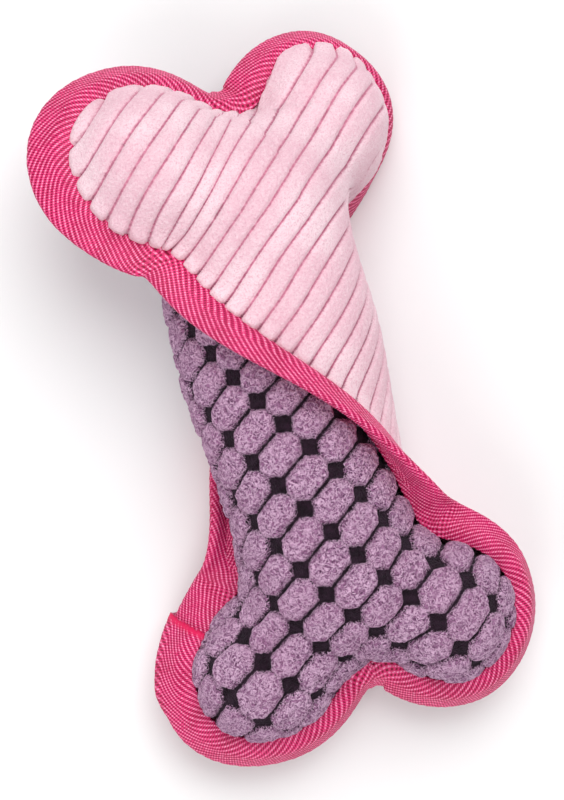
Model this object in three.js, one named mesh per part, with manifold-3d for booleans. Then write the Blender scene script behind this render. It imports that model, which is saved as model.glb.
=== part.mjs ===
// Squeaky plush dog toy: a stuffed bone with a half turn along its length.
// Two cloth panels, one ribbed and one of tufted plush, are sewn together all round and stuffed.
// A folded webbing binding covers the seam, and a press squeaker sits in the middle of the shaft.
// Millimetres, +Z up, long axis along Y, resting on its underside.
//
// The bone is worked out in a flat pattern first: u runs across, s along, and v is the height above
// the plane of the seam. Each point is then turned about the long axis by the half turn.
import * as THREE from 'three';
import { mergeVertices } from 'three/addons/utils/BufferGeometryUtils.js';
import Module from 'manifold-3d';

const wasm = await Module();
wasm.setup();

// Stuffed form: a shaft with round ends, and a knob at each of the four corners
const BONE_LENGTH = 210.8;
const SHAFT_HALF_WIDTH = 24.6;
const SHAFT_HALF_DEPTH = 29.4;
const SHAFT_INSET = 44.8;
const KNOB_RADIUS = 17;
const KNOB_HALF_DEPTH = 19.4;
const KNOB_ACROSS = 32.5;
const KNOB_INSET = 20.3;
const NECK_ROUND = 30.7;

// The sewn bone isn't quite even: its ends slope, its notches sit off the middle, it is bowed sideways
const END_SLOPE = 0.048;
const NOTCH_SHIFT = 4.7;
const NOTCH_SHIFT_WIDTH = 42;
const SIDE_BOW = 2.8;
const SIDE_BOW_REACH = 90;
const UPPER_SWAY = 3.2;
const SWAY_FROM = 30;
const SWAY_TO = 90;

// It lies on its low knobs and its shaft, so one end is a little higher
const LYING_PITCH = 2.5;

// Half turn of the bone, as angles about the long axis, and the length that a quarter turn takes
const TURN_MIDDLE = -90;
const TURN_UPPER = 74;
const TURN_LOWER = 90;
const QUARTER_TURN_LENGTH = 53.3;
const TURN_CENTRE = 14.7;

// Cloth, seam and binding
const SEWING_GAP = 0.3;
const CLOTH_THICKNESS = 4.1;
const GROUND_THICKNESS = 2.2;
const ALLOWANCE_THICKNESS = 0.6;
const ALLOWANCE_WIDTH = 8.6;
const TAPE_THICKNESS = 1.2;
const TAPE_WIDTH = 25;
const TAPE_LAP_LENGTH = 15;
const TAPE_LAP_EXTRA = 0.7;

// Tufts of the second plush: long octagons in rows over its ground cloth
const TUFT_LONG_PITCH = 16.6;
const TUFT_LONG_START = 5.2;
const TUFT_SHORT_PITCH = 11.4;
const TUFT_SHORT_START = 8;
const TUFT_ROW_ANGLE = 34;
const TUFT_END_GAP = 0.6;
const TUFT_SIDE_GAP = 1;
const TUFT_CORNER = 2.7;
const TUFT_EDGE_SLOPE = 1.8;
const TUFT_SHOULDER = 4.2;
const TUFT_CROWN = 4.7;
const TUFT_FROM_SEAM = 4.5;

// How far the bound seam leans over the tufted face along the shaft, in degrees, and where
const FRONT_LEAN = 62;
const FRONT_LEAN_AT = 1.2;
const FRONT_LEAN_REACH = 50.1;
const BACK_LEAN = 92;
const BACK_LEAN_AT = -4;
const BACK_LEAN_REACH = 50;
const LEAN_FADE = 4;

// How far it leans down round the ends, where it looks along the bone, to the right and to the left
const END_LEAN = 62;
const RIGHT_LEAN = 78;
const LEFT_LEAN = 36;
const LEAN_BEND = 4;

// Where the toy rests, its lowest cloth is pressed together and then flat
const PRESS_DEPTH = 16;
const PRESS_SHARE = 0.34;
const REST_FLAT = 0.5;

// Squeaker: a two-shell bulb with a reed whistle in its base
const SQUEAKER_RADIUS = 22;
const SQUEAKER_HEIGHT = 24;
const SQUEAKER_WALL = 1.2;
const SQUEAKER_TRAVEL = 5.5;
const DOME_EDGE_ROUND = 4;
const SLIDE_GAP = 0.4;
const WHISTLE_RADIUS = 4.2;
const WHISTLE_WALL = 1;
const WHISTLE_LENGTH = 12;
const WHISTLE_FLANGE = 1.6;
const WHISTLE_FLANGE_THICKNESS = 1;
const HUB_HEIGHT = 4;
const REED_THICKNESS = 0.4;
const REED_WIDTH = 3.6;
const CLIP_LENGTH = 4;
const REED_GRIP = 0.8;
const AIR_CHANNEL_WIDTH = 1.6;
const AIR_CHANNEL_DEPTH = 1;
const FIT_GAP = 0.3;

// The stuffing is fed in as wads: one for each end, and two round the squeaker
const END_WAD_FROM = 28;

// Mesh density
const SHAFT_ROWS = 20;
const KNOB_ROWS = 5;
const COLUMNS = 5;
const ROUND_SIDES = 32;
const SMALL_SIDES = 16;
const CLOTH_SWEEPS = 3000;

const shaftHalfLength = BONE_LENGTH / 2 - SHAFT_INSET;
const knobAlong = BONE_LENGTH / 2 - KNOB_INSET;

const ACROSS = new THREE.Vector3(1, 0, 0);
const radians = THREE.MathUtils.degToRad;
const smooth = THREE.MathUtils.smoothstep;

// Largest of two values, with a rounded change from one to the other
function blendedMax(a, b, width) {
  return (a + b + Math.hypot(a - b, width)) / 2;
}

// Square of the stuffed half depth at a point of the flat pattern: above zero inside the seam line
function swell(u, s) {
  const past = Math.max(Math.abs(s) - shaftHalfLength, 0);
  const shaft = (1 - (u * u + past * past) / SHAFT_HALF_WIDTH ** 2) * SHAFT_HALF_DEPTH ** 2;
  const knob = (side) => {
    const away = (u - side * KNOB_ACROSS) ** 2 + (Math.abs(s) - knobAlong) ** 2;
    return (1 - away / KNOB_RADIUS ** 2) * KNOB_HALF_DEPTH ** 2;
  };
  return blendedMax(shaft, Math.max(knob(-1), knob(1)), NECK_ROUND ** 2);
}

// Direction in which the swell falls fastest, in the flat pattern
function outward(u, s) {
  const step = 0.01;
  const across = swell(u - step, s) - swell(u + step, s);
  const along = swell(u, s - step) - swell(u, s + step);
  return new THREE.Vector2(across, along);
}

// The value between low and high at which a falling function crosses zero
function crossing(fall, low, high) {
  for (let i = 0; i < 50; i += 1) {
    const middle = (low + high) / 2;
    if (fall(middle) > 0) low = middle;
    else high = middle;
  }
  return (low + high) / 2;
}

// Angle of the half turn at a place along the bone
function turnAt(along) {
  const past = along - TURN_CENTRE;
  const most = past > 0 ? TURN_UPPER : TURN_LOWER;
  return radians(TURN_MIDDLE + most * Math.tanh((past / QUARTER_TURN_LENGTH) * (90 / most)));
}

// Puts a point of the flat pattern in its place: skewed, turned about the long axis, bowed and pitched
function turned(u, s, v) {
  const inNotch = smooth(Math.abs(s), shaftHalfLength * 0.8, knobAlong + KNOB_RADIUS * 0.7);
  const shift = NOTCH_SHIFT * inNotch * Math.exp(-((u / NOTCH_SHIFT_WIDTH) ** 2));
  const across = u + Math.sign(s) * shift;
  const along = s - END_SLOPE * u;
  const angle = turnAt(along);
  const bow = SIDE_BOW * Math.exp(-((along / SIDE_BOW_REACH) ** 4));
  const sway = UPPER_SWAY * smooth(along, SWAY_FROM, SWAY_TO);
  const x = across * Math.cos(angle) - v * Math.sin(angle) + bow + sway;
  const z = across * Math.sin(angle) + v * Math.cos(angle);
  return new THREE.Vector3(x, along, z).applyAxisAngle(ACROSS, radians(LYING_PITCH));
}

// Limits of the seam line along and across the bone
const farU = KNOB_ACROSS + KNOB_RADIUS * 2;
const farS = knobAlong + KNOB_RADIUS * 2;
const notchS = crossing((s) => swell(0, s), shaftHalfLength, farS);
const tipS = crossing((s) => swell(KNOB_ACROSS, s), knobAlong, farS);
const outerU = (s) => {
  const from = KNOB_ACROSS * smooth(Math.abs(s), notchS - 1, notchS);
  return crossing((u) => swell(u, s), from, farU);
};
const innerU = (s) => (Math.abs(s) <= notchS ? 0 : crossing((u) => -swell(u, s), 0, KNOB_ACROSS));

// Rows of the flat pattern, from one end to the other
const rows = [];
for (let i = KNOB_ROWS; i > 0; i -= 1) {
  rows.push(-notchS - (tipS - notchS) * Math.sin((i / KNOB_ROWS) * Math.PI / 2));
}
for (let i = 0; i <= SHAFT_ROWS; i += 1) rows.push(notchS * ((2 * i) / SHAFT_ROWS - 1));
for (let i = 1; i <= KNOB_ROWS; i += 1) {
  rows.push(notchS + (tipS - notchS) * Math.sin((i / KNOB_ROWS) * Math.PI / 2));
}
const lastRow = rows.length - 1;
const rowSpans = rows.map((s, row) => {
  const tip = row === 0 || row === lastRow;
  return tip ? [KNOB_ACROSS, KNOB_ACROSS] : [innerU(s), outerU(s)];
});

// A point of the pattern grid: columns crowd towards the seam, where the cloth turns down
function gridPoint(side, row, column) {
  const [inner, outer] = rowSpans[row];
  const t = column / COLUMNS;
  const fromAxis = Math.sin((t * Math.PI) / 2);
  const fromNotch = (1 - Math.cos(t * Math.PI)) / 2;
  const nearNotch = smooth(Math.abs(rows[row]), notchS * 0.6, notchS);
  const share = THREE.MathUtils.lerp(fromAxis, fromNotch, nearNotch);
  return { u: side * (inner + (outer - inner) * share), s: rows[row] };
}

// Seam line as one closed loop of grid places, anticlockwise seen from the ribbed face
const firstNotchRow = KNOB_ROWS;
const lastNotchRow = lastRow - KNOB_ROWS;
const seam = [];
for (let row = 0; row <= lastRow; row += 1) seam.push([1, row, COLUMNS]);
for (let row = lastRow - 1; row >= lastNotchRow; row -= 1) seam.push([1, row, 0]);
for (let row = lastNotchRow + 1; row <= lastRow; row += 1) seam.push([-1, row, 0]);
for (let row = lastRow - 1; row >= 0; row -= 1) seam.push([-1, row, COLUMNS]);
for (let row = 1; row <= firstNotchRow; row += 1) seam.push([-1, row, 0]);
for (let row = firstNotchRow - 1; row > 0; row -= 1) seam.push([1, row, 0]);

const seamPoints = seam.map((place) => gridPoint(...place));
const seamOutward = seamPoints.map(({ u, s }) => outward(u, s).normalize());

// Lean of the bound seam towards the tufted face, in radians
function leanAt(k) {
  const { u, s } = seamPoints[k];
  const away = seamOutward[k];
  const hump = (at, reach) => Math.exp(-(Math.abs((s - at) / reach) ** LEAN_FADE));
  const front = FRONT_LEAN * hump(FRONT_LEAN_AT, FRONT_LEAN_REACH);
  const back = BACK_LEAN * hump(BACK_LEAN_AT, BACK_LEAN_REACH);
  const atEnd = Math.sign(s) * smooth(Math.abs(s), shaftHalfLength * 0.8, knobAlong);
  const sideLean = away.x * s > 0 ? RIGHT_LEAN : LEFT_LEAN;
  const end = END_LEAN * away.y ** 2 + sideLean * away.x ** 2;
  return radians((u < 0 ? front : back) + atEnd * end);
}

// Places out from the seam line where the leaning tape bends
const tapeFrom = CLOTH_THICKNESS + 3 * SEWING_GAP;
const foldAt = tapeFrom + TAPE_WIDTH / 2 - TAPE_THICKNESS;
const bends = [tapeFrom, tapeFrom + LEAN_BEND / 2, tapeFrom + LEAN_BEND];

// A point of the bound seam: out from the seam line along the leaning tape, and off its middle plane
function seamPoint(k, out, off) {
  const { u, s } = seamPoints[k];
  const lean = leanAt(k) || 1e-6;
  const bent = Math.min(Math.max(out - tapeFrom, 0), LEAN_BEND);
  const angle = (lean * bent) / LEAN_BEND;
  const radius = LEAN_BEND / lean;
  const straight = Math.max(out - tapeFrom - LEAN_BEND, 0);
  const turn = { x: Math.cos(angle), y: Math.sin(angle) };
  const across = Math.min(out, tapeFrom) + (radius + off) * turn.y + straight * turn.x;
  const down = radius - (radius + off) * turn.x + straight * turn.y;
  const away = seamOutward[k];
  return turned(u + away.x * across, s + away.y * across, -down);
}

// A point on the stuffed form, moved off it along its own normal
function formPoint({ u, s }, face, off, lift) {
  const depth = Math.sqrt(Math.max(swell(u, s), 0));
  const down = outward(u, s).divideScalar(0.02);
  const normal = new THREE.Vector3(down.x, down.y, 2 * depth * face).normalize();
  const v = depth * face + normal.z * off;
  return turned(u + normal.x * off, s + normal.y * off, face * Math.max(Math.abs(v), lift));
}

// Collects triangles of points and welds them into one geometry
class Skin {
  constructor() {
    this.corners = [];
  }

  quad(a, b, c, d, flipped) {
    const [p, q] = flipped ? [d, b] : [b, d];
    [a, p, c, a, c, q].forEach((point) => this.corners.push(point.x, point.y, point.z));
  }

  // Both halves of one face of the pattern, each point given by a function of its grid place
  face(pointAt, flipped) {
    for (const side of [-1, 1]) {
      for (let row = 0; row < lastRow; row += 1) {
        for (let column = 0; column < COLUMNS; column += 1) {
          const corners = [[row, column], [row, column + 1], [row + 1, column + 1], [row + 1, column]];
          this.quad(...corners.map(([r, c]) => pointAt([side, r, c])), flipped !== side < 0);
        }
      }
    }
  }

  // A closed band round the seam between two rings of points
  band(innerAt, outerAt, flipped) {
    for (let k = 0; k < seam.length; k += 1) {
      const next = (k + 1) % seam.length;
      this.quad(innerAt(k), outerAt(k), outerAt(next), innerAt(next), flipped);
    }
  }

  geometry() {
    const soup = new THREE.BufferGeometry();
    soup.setAttribute('position', new THREE.Float32BufferAttribute(this.corners, 3));
    return soup;
  }
}

// Turns a closed geometry into a solid that can be joined and cut
function solid(geometry) {
  const bare = geometry.clone();
  ['normal', 'uv'].forEach((name) => bare.deleteAttribute(name));
  const merged = mergeVertices(bare, 1e-3);
  const triVerts = [];
  for (let i = 0; i < merged.index.count; i += 3) {
    const [a, b, c] = merged.index.array.subarray(i, i + 3);
    if (a !== b && b !== c && a !== c) triVerts.push(a, b, c);
  }
  const mesh = new wasm.Mesh({
    numProp: 3,
    vertProperties: merged.attributes.position.array,
    triVerts: new Uint32Array(triVerts),
  });
  return new wasm.Manifold(mesh);
}

function geometryOf(body) {
  const mesh = body.getMesh();
  const geometry = new THREE.BufferGeometry();
  geometry.setAttribute('position', new THREE.BufferAttribute(mesh.vertProperties, 3));
  geometry.setIndex(new THREE.BufferAttribute(mesh.triVerts, 1));
  return geometry;
}

// A block between two corners, for cutting
function block(low, high) {
  const size = high.clone().sub(low);
  const middle = low.clone().add(high).divideScalar(2);
  return solid(new THREE.BoxGeometry(size.x, size.y, size.z).translate(middle.x, middle.y, middle.z));
}

// A solid of revolution about Z from a closed profile of [radius, height]
function revolve(profile, sides = ROUND_SIDES) {
  const points = [...profile, profile[0]].map(([r, z]) => new THREE.Vector2(r, z));
  return new THREE.LatheGeometry(points, sides).rotateX(Math.PI / 2);
}

// Stuffed form inside the cloth
const stuffing = new Skin();
stuffing.face((place) => formPoint(gridPoint(...place), 1, 0, 0), false);
stuffing.face((place) => formPoint(gridPoint(...place), -1, 0, 0), true);

// Space inside the cloth, up to the inner side of both panels
function lining() {
  const skin = new Skin();
  const inner = (face) => (place) => formPoint(gridPoint(...place), face, SEWING_GAP, SEWING_GAP / 2);
  skin.face(inner(1), false);
  skin.face(inner(-1), true);
  skin.band((k) => inner(1)(seam[k]), (k) => inner(-1)(seam[k]), false);
  return skin.geometry();
}

// One cloth panel: a domed face with its sewing allowance turned out flat along the seam
function panel(face, thickness) {
  const skin = new Skin();
  const flipped = face < 0;
  const under = SEWING_GAP / 2;
  const over = under + ALLOWANCE_THICKNESS;
  const outerOff = SEWING_GAP + thickness;
  const outer = (place) => formPoint(gridPoint(...place), face, outerOff, over);
  const inner = (place) => formPoint(gridPoint(...place), face, SEWING_GAP, under);
  const outs = [...bends, tapeFrom + ALLOWANCE_WIDTH];
  const rings = (off) => outs.map((out) => (k) => seamPoint(k, out, face * off));
  const outerRings = [(k) => outer(seam[k]), ...rings(over)];
  const innerRings = [(k) => inner(seam[k]), ...rings(under)];
  skin.face(outer, flipped);
  skin.face(inner, !flipped);
  for (let i = 0; i < outs.length; i += 1) {
    skin.band(outerRings[i], outerRings[i + 1], flipped);
    skin.band(innerRings[i], innerRings[i + 1], !flipped);
  }
  skin.band(outerRings[outs.length], innerRings[outs.length], flipped);
  return skin.geometry();
}

// Cloth of the tufted face laid flat again: each triangle of the pattern grid, measured on the stuffed
// form, is fitted in the plane, and the places where triangles meet take the mean of their fits
class FlatCloth {
  constructor(face, off) {
    this.places = [];
    this.triangles = [];
    const indices = new Map();
    const indexOf = (side, row, column) => {
      const tip = row === 0 || row === lastRow;
      const onAxis = column === 0 && row >= firstNotchRow && row <= lastNotchRow;
      const key = [onAxis ? 0 : side, row, tip ? 0 : column].join();
      if (!indices.has(key)) {
        indices.set(key, this.places.length);
        const flat = gridPoint(side, row, column);
        this.places.push({ ...flat, point: formPoint(flat, face, off, 0) });
      }
      return indices.get(key);
    };
    for (const side of [-1, 1]) {
      for (let row = 0; row <= lastRow; row += 1) {
        let arc = rowSpans[row][0];
        for (let column = 0; column <= COLUMNS; column += 1) {
          const place = this.places[indexOf(side, row, column)];
          const before = this.places[indexOf(side, row, Math.max(column - 1, 0))];
          arc += place.point.distanceTo(before.point);
          const turn = turnAt(place.s - END_SLOPE * place.u) - radians(TURN_MIDDLE);
          place.a = face * side * arc - SHAFT_HALF_DEPTH * turn;
          place.b = place.s;
        }
      }
      for (let row = 0; row < lastRow; row += 1) {
        for (let column = 0; column < COLUMNS; column += 1) {
          const corners = [[row, column], [row, column + 1], [row + 1, column + 1], [row + 1, column]];
          const [a, b, c, d] = corners.map(([r, k]) => indexOf(side, r, k));
          for (const triangle of [[a, b, c], [a, c, d]]) this.measure(triangle, side * face, true);
          for (const triangle of [[a, b, d], [b, c, d]]) this.measure(triangle, side * face, false);
        }
      }
    }
  }

  // Adds a triangle with its own flat shape, about its middle, unless two of its corners are one
  measure(corners, hand, facet) {
    if (new Set(corners).size < 3) return;
    const [p, q, r] = corners.map((i) => this.places[i].point);
    const base = q.clone().sub(p);
    const other = r.clone().sub(p);
    const length = base.length();
    const x = base.dot(other) / length;
    const y = hand * base.cross(other).length() / length;
    const middle = [(length + x) / 3, y / 3];
    const shape = [[0, 0], [length, 0], [x, y]].map(([a, b]) => [a - middle[0], b - middle[1]]);
    this.triangles.push({ corners, shape, facet });
  }

  settle(sweeps) {
    for (let sweep = 0; sweep < sweeps; sweep += 1) {
      for (const place of this.places) Object.assign(place, { sumA: 0, sumB: 0, count: 0 });
      for (const { corners, shape } of this.triangles) this.fit(corners.map((i) => this.places[i]), shape);
      for (const place of this.places) {
        place.a = place.sumA / place.count;
        place.b = place.sumB / place.count;
      }
    }
  }

  // Lays one triangle's shape over its corners and adds where it would have them
  fit(corners, shape) {
    const middleA = (corners[0].a + corners[1].a + corners[2].a) / 3;
    const middleB = (corners[0].b + corners[1].b + corners[2].b) / 3;
    let cos = 0;
    let sin = 0;
    corners.forEach((corner, i) => {
      const [x, y] = shape[i];
      cos += x * (corner.a - middleA) + y * (corner.b - middleB);
      sin += x * (corner.b - middleB) - y * (corner.a - middleA);
    });
    const size = Math.hypot(cos, sin);
    corners.forEach((corner, i) => {
      const [x, y] = shape[i];
      corner.sumA += middleA + (x * cos - y * sin) / size;
      corner.sumB += middleB + (x * sin + y * cos) / size;
      corner.count += 1;
    });
  }

  // Where a point of the cloth lies: the panel's triangle there and the shares of its corners
  find(a, b) {
    for (const { corners, facet } of this.triangles) {
      const [p, q, r] = corners.map((i) => this.places[i]);
      const whole = (q.a - p.a) * (r.b - p.b) - (q.b - p.b) * (r.a - p.a);
      const towardsQ = ((a - p.a) * (r.b - p.b) - (b - p.b) * (r.a - p.a)) / whole;
      const towardsR = ((q.a - p.a) * (b - p.b) - (q.b - p.b) * (a - p.a)) / whole;
      const shares = [1 - towardsQ - towardsR, towardsQ, towardsR];
      if (facet && Math.min(...shares) >= 0) return { corners: [p, q, r], shares };
    }
    return null;
  }
}

// A point over the panel's own facets, at a height over the stuffed form
function overFacet({ corners, shares }, face, off) {
  const point = new THREE.Vector3();
  corners.forEach((corner, i) => point.addScaledVector(formPoint(corner, face, off, 0), shares[i]));
  return point;
}

// Corners of one tuft about its middle, along and across its row
function tuftOutline(inset) {
  const x = (TUFT_LONG_PITCH - TUFT_END_GAP) / 2 - inset;
  const y = (TUFT_SHORT_PITCH - TUFT_SIDE_GAP) / 2 - inset;
  const cut = TUFT_CORNER - inset / 2;
  const quarter = [[x, y - cut], [x - cut, y]];
  const mirrored = quarter.map(([a, b]) => [-a, b]).reverse();
  const upper = [...quarter, ...mirrored];
  return [...upper, ...upper.map(([a, b]) => [-a, -b])];
}

// Tufts of the tufted face, each a closed pillow that starts inside the ground cloth
function tufts(face) {
  const cloth = new FlatCloth(face, TUFT_CROWN / 2);
  cloth.settle(CLOTH_SWEEPS);
  const origin = new THREE.Vector2();
  const reach = Math.ceil((BONE_LENGTH * 0.75) / TUFT_SHORT_PITCH);
  const fromSeam = ({ corners, shares }) => {
    const swells = corners.map(({ u, s }, i) => shares[i] * swell(u, s));
    return Math.sqrt(swells[0] + swells[1] + swells[2]);
  };
  const inside = (found) => found && fromSeam(found) > TUFT_FROM_SEAM;
  const pillows = [];
  for (let i = -reach; i <= reach; i += 1) {
    for (let j = -reach; j <= reach; j += 1) {
      const place = new THREE.Vector2(TUFT_LONG_START, TUFT_SHORT_START);
      place.add(new THREE.Vector2(i * TUFT_LONG_PITCH, j * TUFT_SHORT_PITCH));
      const at = ([x, y]) => {
        const corner = new THREE.Vector2(x, y).add(place).rotateAround(origin, radians(TUFT_ROW_ANGLE));
        return cloth.find(corner.x, corner.y);
      };
      const foot = tuftOutline(0).map(at);
      const top = tuftOutline(TUFT_EDGE_SLOPE).map(at);
      if (![...foot, ...top].every(inside)) continue;
      pillows.push(pillow(face, foot, top, at([0, 0])));
    }
  }
  return pillows;
}

function pillow(face, foot, top, middle) {
  const skin = new Skin();
  const low = SEWING_GAP + GROUND_THICKNESS / 3;
  const footPoints = foot.map((found) => overFacet(found, face, low));
  const topPoints = top.map((found) => overFacet(found, face, TUFT_SHOULDER));
  const under = overFacet(middle, face, SEWING_GAP + GROUND_THICKNESS / 4.5);
  const crown = overFacet(middle, face, TUFT_CROWN);
  footPoints.forEach((corner, k) => {
    const next = (k + 1) % footPoints.length;
    skin.quad(corner, footPoints[next], topPoints[next], topPoints[k], false);
    skin.quad(crown, topPoints[k], topPoints[next], crown, false);
    skin.quad(under, corner, footPoints[next], under, true);
  });
  return skin.geometry();
}

// Place on the seam where the tape's two ends lie on each other, at the side of a lower knob
const lapRow = KNOB_ROWS + 3;
const atLap = ([side, row, column]) => side > 0 && column === COLUMNS && row === lapRow;
const lapIndex = seam.findIndex(atLap);

// Folded webbing: a U section swept round the seam, thicker where its ends lap
function binding() {
  const skin = new Skin();
  const slot = SEWING_GAP * 2 + ALLOWANCE_THICKNESS;
  const slotEnd = tapeFrom + ALLOWANCE_WIDTH + SEWING_GAP;
  const foldStart = foldAt - TAPE_THICKNESS;
  const lap = seamPoints[lapIndex];
  const profile = (k) => {
    const { u, s } = seamPoints[k];
    const lapped = Math.hypot(u - lap.u, s - lap.s) < TAPE_LAP_LENGTH / 2;
    const half = slot + TAPE_THICKNESS + (lapped ? TAPE_LAP_EXTRA : 0);
    const outside = [...bends, foldStart].map((out) => [out, half]);
    const inside = [...bends, slotEnd].map((out) => [out, slot]);
    const mirrored = (side) => side.map(([out, off]) => [out, -off]);
    const fold = [[foldAt + TAPE_THICKNESS * 0.7, half * 0.6]];
    return [
      ...mirrored(outside), ...mirrored(fold), ...fold, ...outside.reverse(),
      ...inside, ...mirrored(inside).reverse(),
    ];
  };
  const outs = profile(0).map(([out]) => out);
  for (let j = 0; j < outs.length; j += 1) {
    const next = (j + 1) % outs.length;
    const inwards = outs[next] < outs[j];
    const [near, far] = inwards ? [next, j] : [j, next];
    const corner = (index) => (k) => seamPoint(k, ...profile(k)[index]);
    skin.band(corner(near), corner(far), !inwards);
  }
  return skin.geometry();
}

// Presses the lowest cloth together, then moves the resting height to zero
const soft = {
  stuffing: stuffing.geometry(),
  lining: lining(),
  ribbed: panel(1, CLOTH_THICKNESS),
  tufted: panel(-1, GROUND_THICKNESS),
  binding: binding(),
};
const pillows = tufts(-1);
const pressed = [...Object.values(soft), ...pillows];
const lowest = Math.min(...pressed.map((geometry) => {
  geometry.computeBoundingBox();
  return geometry.boundingBox.min.z;
}));
const pressFrom = lowest + PRESS_DEPTH;
const floor = pressFrom - PRESS_DEPTH * (1 - PRESS_SHARE) + REST_FLAT;
for (const geometry of pressed) {
  const position = geometry.attributes.position;
  for (let i = 0; i < position.count; i += 1) {
    const depth = Math.max(pressFrom - position.getZ(i), 0) / PRESS_DEPTH;
    const z = depth > 0 ? pressFrom - PRESS_DEPTH * (depth - PRESS_SHARE * depth ** 2) : position.getZ(i);
    position.setZ(i, z);
  }
}

// What lies below the resting plane is cut away flat
const farCorner = new THREE.Vector3(farU * 2, farS * 2, floor);
const underFloor = block(new THREE.Vector3(-farU * 2, -farS * 2, floor - PRESS_DEPTH), farCorner);
const restCut = (body) => geometryOf(body.subtract(underFloor));
const pile = wasm.Manifold.union(pillows.map(solid)).subtract(solid(soft.lining));

// Squeaker, with its own origin at the middle of its height
const halfHeight = SQUEAKER_HEIGHT / 2;
const baseRadius = SQUEAKER_RADIUS - SQUEAKER_WALL - SLIDE_GAP;
const hubRadius = WHISTLE_RADIUS + FIT_GAP;
const baseTop = halfHeight - DOME_EDGE_ROUND - SQUEAKER_TRAVEL;
const skirtEnd = SQUEAKER_WALL + SQUEAKER_TRAVEL + SLIDE_GAP - halfHeight;

// Lower shell: a cup with a hub that holds the whistle
function squeakerBase() {
  const bottom = -halfHeight;
  const insideFloor = bottom + SQUEAKER_WALL;
  const inside = baseRadius - SQUEAKER_WALL;
  const hubOutside = hubRadius + SQUEAKER_WALL;
  return revolve([
    [hubRadius, bottom], [SQUEAKER_RADIUS, bottom], [SQUEAKER_RADIUS, insideFloor],
    [baseRadius, insideFloor], [baseRadius, baseTop], [inside, baseTop], [inside, insideFloor],
    [hubOutside, insideFloor], [hubOutside, bottom + HUB_HEIGHT], [hubRadius, bottom + HUB_HEIGHT],
  ]);
}

// Upper shell: a springy crown whose skirt runs outside the cup
function squeakerDome() {
  const steps = 4;
  const rim = SQUEAKER_RADIUS;
  const arc = (radius, shrink) => Array.from({ length: steps + 1 }, (_, i) => {
    const angle = (i / steps) * Math.PI / 2;
    const corner = DOME_EDGE_ROUND - shrink;
    const height = halfHeight - DOME_EDGE_ROUND + corner * Math.sin(angle);
    return [radius - corner + corner * Math.cos(angle), height];
  });
  const outside = arc(rim, 0);
  const inside = arc(rim - SQUEAKER_WALL, SQUEAKER_WALL).reverse();
  const crown = halfHeight;
  return revolve([
    [rim, skirtEnd], ...outside, [0, crown],
    [0, crown - SQUEAKER_WALL], ...inside, [rim - SQUEAKER_WALL, skirtEnd],
  ]);
}

// Whistle sleeve: a flanged tube that pushes into the hub from outside
const boreRadius = WHISTLE_RADIUS - WHISTLE_WALL;
const sleeveBottom = -halfHeight - FIT_GAP - WHISTLE_FLANGE_THICKNESS;
const sleeveTop = sleeveBottom + WHISTLE_LENGTH;
function whistleSleeve() {
  const flange = WHISTLE_RADIUS + WHISTLE_FLANGE;
  const flangeTop = sleeveBottom + WHISTLE_FLANGE_THICKNESS;
  return revolve([
    [boreRadius, sleeveBottom], [flange, sleeveBottom], [flange, flangeTop], [WHISTLE_RADIUS, flangeTop],
    [WHISTLE_RADIUS, sleeveTop], [boreRadius, sleeveTop],
  ], SMALL_SIDES);
}

// A half cylinder that fills one side of the sleeve's bore, clear of the reed
const reedGap = REED_THICKNESS / 2 + FIT_GAP / 2;
const reedLength = WHISTLE_LENGTH - 2 * FIT_GAP;
const whistleMiddle = (sleeveBottom + sleeveTop) / 2;
function halfRound(length, side) {
  const radius = boreRadius - FIT_GAP;
  const rod = new THREE.CylinderGeometry(radius, radius, length, SMALL_SIDES).rotateX(Math.PI / 2);
  const low = new THREE.Vector3(-2 * radius, side > 0 ? -2 * radius : -reedGap, -length);
  const high = new THREE.Vector3(2 * radius, side > 0 ? reedGap : 2 * radius, length);
  return solid(rod).subtract(block(low, high));
}

// Voicing block, with the air channel along its flat side
function voicingBlock() {
  const halfWidth = AIR_CHANNEL_WIDTH / 2;
  const from = -reedLength / 2 + CLIP_LENGTH;
  const low = new THREE.Vector3(-halfWidth, -reedGap - AIR_CHANNEL_DEPTH, from);
  const high = new THREE.Vector3(halfWidth, reedGap, reedLength);
  return halfRound(reedLength, -1).subtract(block(low, high));
}

// Reed: a thin tongue over the channel, held by its foot under the clip
function reedStrip() {
  const from = -reedLength / 2 + CLIP_LENGTH - REED_GRIP;
  const length = reedLength / 2 - from;
  return new THREE.BoxGeometry(REED_WIDTH, REED_THICKNESS, length).translate(0, 0, from + length / 2);
}

// Materials
const cloth = (color) => new THREE.MeshStandardMaterial({ color, roughness: 0.95, metalness: 0 });
const plastic = (color) => new THREE.MeshStandardMaterial({ color, roughness: 0.45, metalness: 0 });
const materials = {
  ribbedPlush: cloth(0xf8cdd8),
  tuftedPlush: cloth(0xa982ad),
  webbing: new THREE.MeshStandardMaterial({ color: 0xd93a7c, roughness: 0.6, metalness: 0 }),
  fibre: cloth(0xf3f1ec),
  shell: plastic(0xf0efe8),
  whistle: plastic(0xe4e2da),
  reed: plastic(0xd8d4c4),
};

const toy = new THREE.Group();
function add(name, geometry, material, parent = toy) {
  const mesh = new THREE.Mesh(geometry, material);
  mesh.name = name;
  parent.add(mesh);
  return mesh;
}

add('ribbed_pink_panel', restCut(solid(soft.ribbed)), materials.ribbedPlush);
add('tufted_purple_panel', restCut(solid(soft.tufted).add(pile)), materials.tuftedPlush);
add('edge_binding', restCut(solid(soft.binding)), materials.webbing);

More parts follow.
